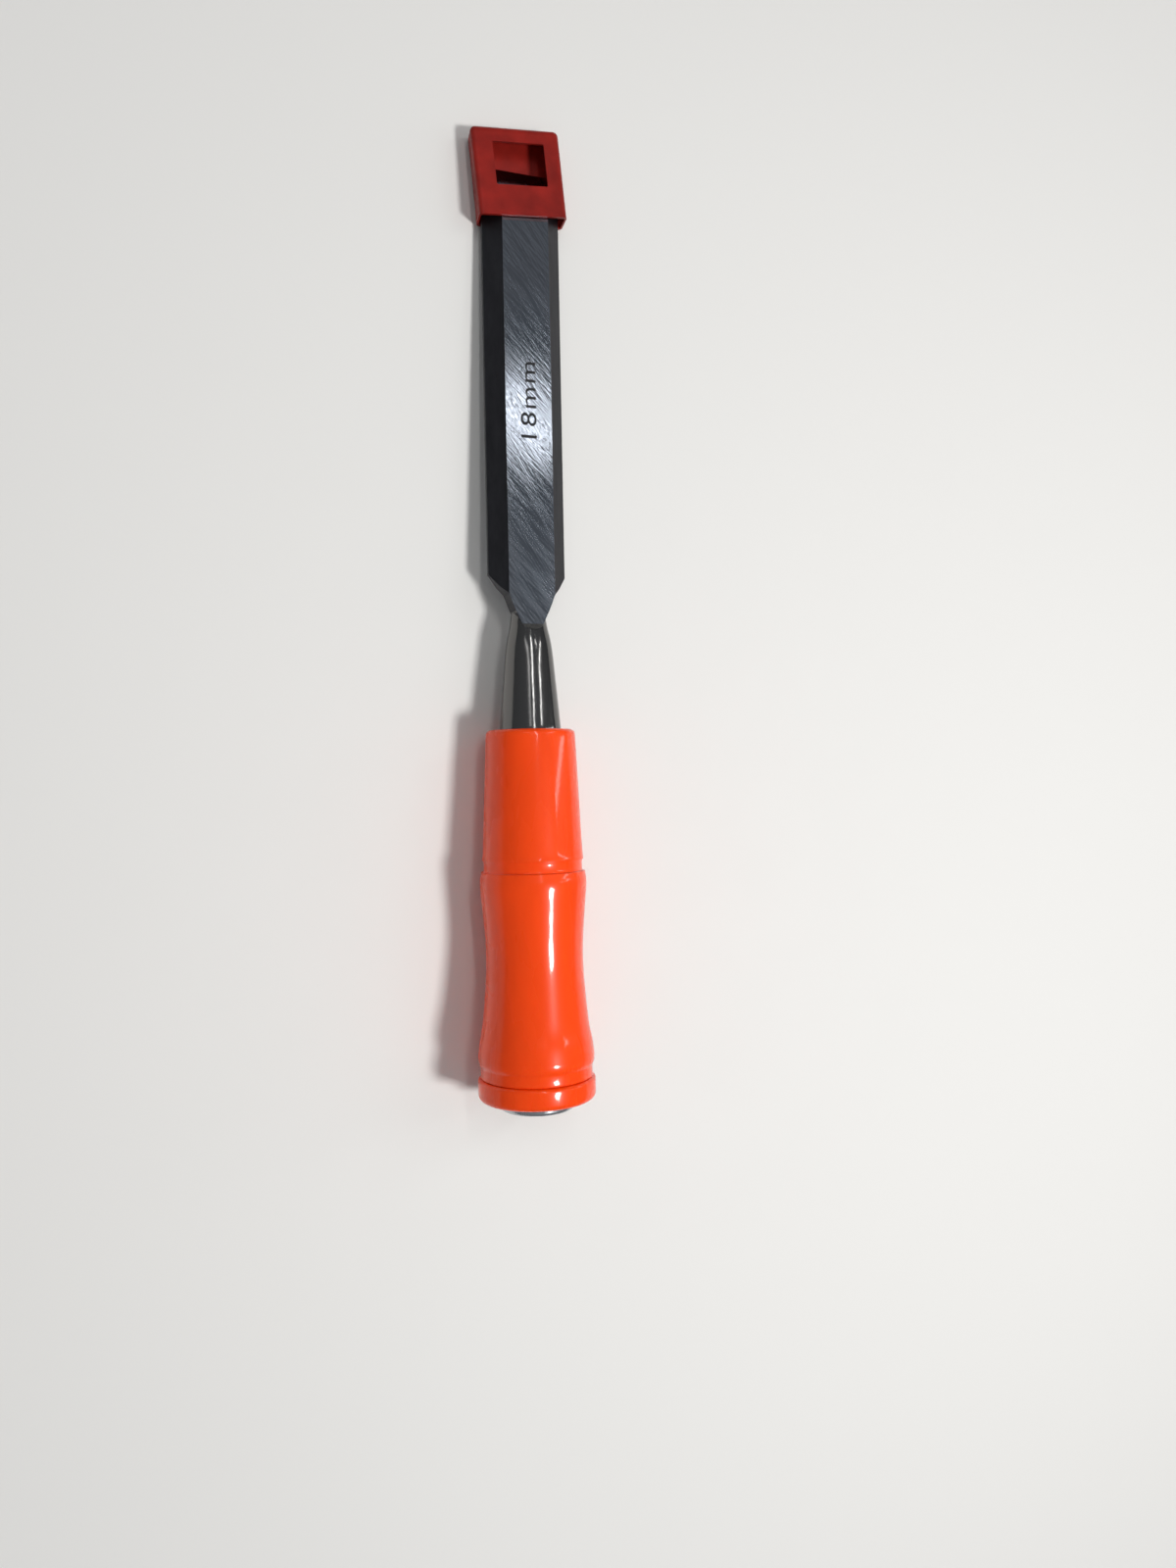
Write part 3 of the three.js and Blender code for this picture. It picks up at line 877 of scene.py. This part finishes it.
def settle(piece, guard):
    """Thins the guard towards its closed end and leans its walls with a lattice of eight corners."""
    width, long, high = guard.width * MM, guard.length * MM, guard.height * MM
    deselect()
    bpy.ops.object.add(type="LATTICE", location=(0, long / 2, high / 2))
    lattice = bpy.context.object
    lattice.scale = (width, long, high)
    for way in "uvw":
        setattr(lattice.data, f"interpolation_type_{way}", "KEY_LINEAR")
    for point in lattice.data.points:
        if point.co.z > 0:
            height = high - (guard.end_drop * MM if point.co.y > 0 else 0)
            point.co_deform.z = height / high - 0.5
            point.co_deform.x = point.co.x - guard.lean * MM / width * (height / high)
    bpy.context.view_layer.update()
    apply(piece, "LATTICE", object=lattice)
    bpy.data.objects.remove(lattice)


class CHISEL_OT_tip_guard(bpy.types.Operator):
    """Mould the tip guard: a soft rounded sleeve with a closed end and a window"""

    bl_idname = "chisel.tip_guard"
    bl_label = "Tip guard"

    def execute(self, context):
        guard = settings().guard
        axes = guard_lies()
        width, long, high = guard.width * MM - 2 * HAIR, guard.length * MM - HAIR, guard.height * MM - HAIR
        piece = block("vinyl_guard", (width, long, high), (0, long / 2, high / 2))
        bpy.ops.mesh.select_mode(type="EDGE")
        rounding = 1.2
        pick("edges", lambda edge: all(v.co.y > long - 0.01 for v in edge.verts) and upright(edge))
        bpy.ops.mesh.bevel(offset=rounding, segments=8, affect="EDGES")
        pick("edges", lambda edge: not upright(edge) and any(v.co.y > 0.01 for v in edge.verts))
        bpy.ops.mesh.bevel(offset=rounding, segments=6, affect="EDGES")
        finish_edit()
        pocket_width, pocket_height = guard.pocket_width * MM, guard.pocket_height * MM
        clear = 5
        pocket_length = long - guard.end_wall * MM + clear
        pocket = block(
            "pocket", (pocket_width, pocket_length, pocket_height), (0, pocket_length / 2 - clear, high / 2)
        )
        bpy.ops.mesh.select_mode(type="EDGE")
        pick("edges", lambda edge: abs(edge.verts[0].co.y - edge.verts[1].co.y) > 1)
        bpy.ops.mesh.bevel(offset=0.6, segments=4, affect="EDGES")
        finish_edit()
        combine(piece, pocket, "DIFFERENCE")
        window_middle = guard.window_start * MM + guard.window_length * MM / 2
        window = block(
            "window", (guard.window_width * MM, guard.window_length * MM, high),
            (guard.window_offset * MM, window_middle, high),
        )
        bpy.ops.mesh.select_mode(type="EDGE")
        pick("edges", upright)
        bpy.ops.mesh.bevel(offset=0.3, segments=3, affect="EDGES")
        finish_edit()
        combine(piece, window, "DIFFERENCE")
        apply(piece, "BEVEL", width=0.14, segments=3, limit_method="ANGLE", angle_limit=math.radians(50))
        settle(piece, guard)
        piece.data.materials.append(soft_vinyl(axes, guard.vinyl))
        lay(piece, axes, "guard", "tip_guard", flats=True)
        return {"FINISHED"}


class CHISEL_OT_size_mark(bpy.types.Operator):
    """Etch the blade's width on the flat, reading towards the cutting edge"""

    bl_idname = "chisel.size_mark"
    bl_label = "Size mark"

    def execute(self, context):
        mark, blade = settings().mark, settings().blade
        axes = tool_lies()
        deselect()
        bpy.ops.object.text_add(location=(0, 0, 0))
        text = bpy.context.object
        text.name = "size_mark"
        text.data.body = f"{blade.width * MM:.0f}mm"
        text.data.size = 6  # any size: the figures are grown to their length and height below
        text.data.space_character = 1.12
        text.data.extrude = HAIR / 2
        text.data.resolution_u = 8
        bpy.ops.object.convert(target="MESH")
        piece = bpy.context.object
        corners = [Vector(corner) for corner in piece.bound_box]
        low = Vector([min(c[i] for c in corners) for i in range(3)])
        high = Vector([max(c[i] for c in corners) for i in range(3)])
        grow_long = mark.length * MM / (high.x - low.x)
        grow_high = mark.height * MM / (high.y - low.y)
        flat_top = (blade.back + blade.thickness) * MM - HAIR
        at_origin = Matrix.Translation((-low.x, -(low.y + high.y) / 2, 0))
        on_blade = Matrix.Translation((mark.middle * MM, mark.start * MM, flat_top))
        sized = Matrix.Diagonal((grow_long, grow_high, 1, 1))
        piece.matrix_world = on_blade @ Matrix.Rotation(math.pi / 2, 4, "Z") @ sized @ at_origin
        bpy.ops.object.transform_apply(location=True, rotation=True, scale=True)
        edit("VERT")
        bpy.ops.mesh.remove_doubles(threshold=0.0005)
        finish_edit()
        piece.data.materials.append(etched_figures(mark.ink))
        lay(piece, axes, "chisel")
        return {"FINISHED"}


# name, place and target in mm on the tool's axes, size in metres, power in watts
LAMPS = (
    ("Key over the handle", (235, -180, 620), (0, -45, 0), (0.11, 0.11), 3.0),
    ("Key over the blade", (212, 305, 620), (0, 75, 0), (0.08, 0.032), 0.068),
    ("Side light", (700, 60, 430), (0, 10, 0), (0.02, 0.56), 0.35),
    ("Strip over the neck", (-40, 220, 620), (0, 10, 0), (0.03, 0.30), 0.45),
    ("Strip beside the neck", (390, 220, 540), (0, 10, 0), (0.016, 0.30), 0.3),
    ("Edge light", (-300, 270, 600), (0, 60, 0), (0.05, 0.36), 0.14),
)


def area_light(name, place, target, size, power):
    """A rectangular lamp at a place, turned to a target, both on the tool's axes in millimetres."""
    data = bpy.data.lights.new(name, "AREA")
    data.shape = "RECTANGLE"
    data.size, data.size_y = size
    data.energy = power
    lamp = bpy.data.objects.new(name, data)
    bpy.context.scene.collection.objects.link(lamp)
    axes = tool_lies()
    start, end = axes @ Vector(place), axes @ Vector(target)
    lamp.location = start
    lamp.rotation_euler = (end - start).to_track_quat("-Z", "Y").to_euler()


def studio_world():
    """Soft light from all round, brighter from above than from the horizon."""
    world = bpy.data.worlds.new("Studio")
    bpy.context.scene.world = world
    world.use_nodes = True
    tree = world.node_tree
    tree.nodes.clear()
    direction = add(tree, "TexCoord").outputs["Generated"]
    split = add(tree, "SeparateXYZ", {"Vector": direction})
    level = add(
        tree, "MapRange", {"Value": split.outputs["Z"]},
        {"From Min": 0.05, "From Max": 0.9, "To Min": 0.21, "To Max": 0.29},
    )
    sky = add(tree, "Background", {"Strength": level.outputs[0]}, {"Color": linear("#EEF2F7")})
    add(tree, "OutputWorld", {"Surface": sky.outputs[0]})


def bench(size, base):
    """The bench top: a board with a rounded edge, its top just under the chisel."""
    deselect()
    thick, rounding, sink = 0.02, 0.004, 0.00005  # metres
    bpy.ops.mesh.primitive_cube_add(size=1, location=(0, 0, -thick / 2 - sink))
    board = bpy.context.object
    board.name = "bench"
    board.scale = (size, size, thick)
    bpy.ops.object.transform_apply(location=True, rotation=True, scale=True)
    apply(board, "BEVEL", width=rounding, segments=3)
    board.data.materials.append(bench_top(base))


def camera(lens):
    """Looks down on the tool from its left, with the picture plane along its length."""
    place = Vector((-84.59, -11.38, 251.48))  # mm on the tool's axes
    yaw, pitch, roll = (math.radians(a) for a in (-21.346, -0.209, -1.103))
    axes = tool_lies()
    data = bpy.data.cameras.new("Camera")
    data.sensor_fit = "VERTICAL"
    data.sensor_height = 36
    data.lens = lens
    data.clip_start = 0.01
    shot = bpy.data.objects.new("Camera", data)
    bpy.context.scene.collection.objects.link(shot)
    aim = Matrix.Rotation(yaw, 3, "Y") @ Matrix.Rotation(pitch, 3, "X") @ Matrix.Rotation(roll, 3, "Z")
    lying = axes.to_quaternion().to_matrix()
    shot.matrix_world = Matrix.Translation(axes @ place) @ (lying @ aim).to_4x4()
    bpy.context.scene.camera = shot


class CHISEL_OT_stage(bpy.types.Operator):
    """Set out the bench, the soft studio light and the camera"""

    bl_idname = "chisel.stage"
    bl_label = "Stage"

    def execute(self, context):
        stage = settings().stage
        studio_world()
        bench(stage.size, stage.bench)
        for lamp in LAMPS:
            area_light(*lamp)
        camera(stage.lens)
        context.scene.view_settings.view_transform = "Standard"
        return {"FINISHED"}


class CHISEL_PT_panel(bpy.types.Panel):
    """Lists the pieces of the chisel and what can be changed on each"""

    bl_idname = "CHISEL_PT_panel"
    bl_label = "Bench chisel"
    bl_space_type = "VIEW_3D"
    bl_region_type = "UI"
    bl_category = "Chisel"

    def draw(self, context):
        sections = (
            (CHISEL_OT_blade, settings().blade),
            (CHISEL_OT_size_mark, settings().mark),
            (CHISEL_OT_handle, settings().handle),
            (CHISEL_OT_strike_cap, settings().cap),
            (CHISEL_OT_tip_guard, settings().guard),
            (CHISEL_OT_stage, settings().stage),
        )
        for operator, group in sections:
            box = self.layout.box()
            box.operator(operator.bl_idname)
            for name in group.__annotations__:
                box.prop(group, name)


CLASSES = (
    BladeSettings,
    HandleSettings,
    CapSettings,
    GuardSettings,
    MarkSettings,
    StageSettings,
    ChiselSettings,
    CHISEL_OT_blade,
    CHISEL_OT_handle,
    CHISEL_OT_strike_cap,
    CHISEL_OT_tip_guard,
    CHISEL_OT_size_mark,
    CHISEL_OT_stage,
    CHISEL_PT_panel,
)


def register():
    for cls in CLASSES:
        bpy.utils.register_class(cls)
    bpy.types.Scene.bench_chisel = PointerProperty(type=ChiselSettings)


def unregister():
    del bpy.types.Scene.bench_chisel
    for cls in reversed(CLASSES):
        bpy.utils.unregister_class(cls)


def main():
    register()
    bpy.ops.chisel.blade()
    bpy.ops.chisel.size_mark()
    bpy.ops.chisel.handle()
    bpy.ops.chisel.strike_cap()
    bpy.ops.chisel.tip_guard()
    bpy.ops.chisel.stage()


if __name__ == "__main__":
    main()
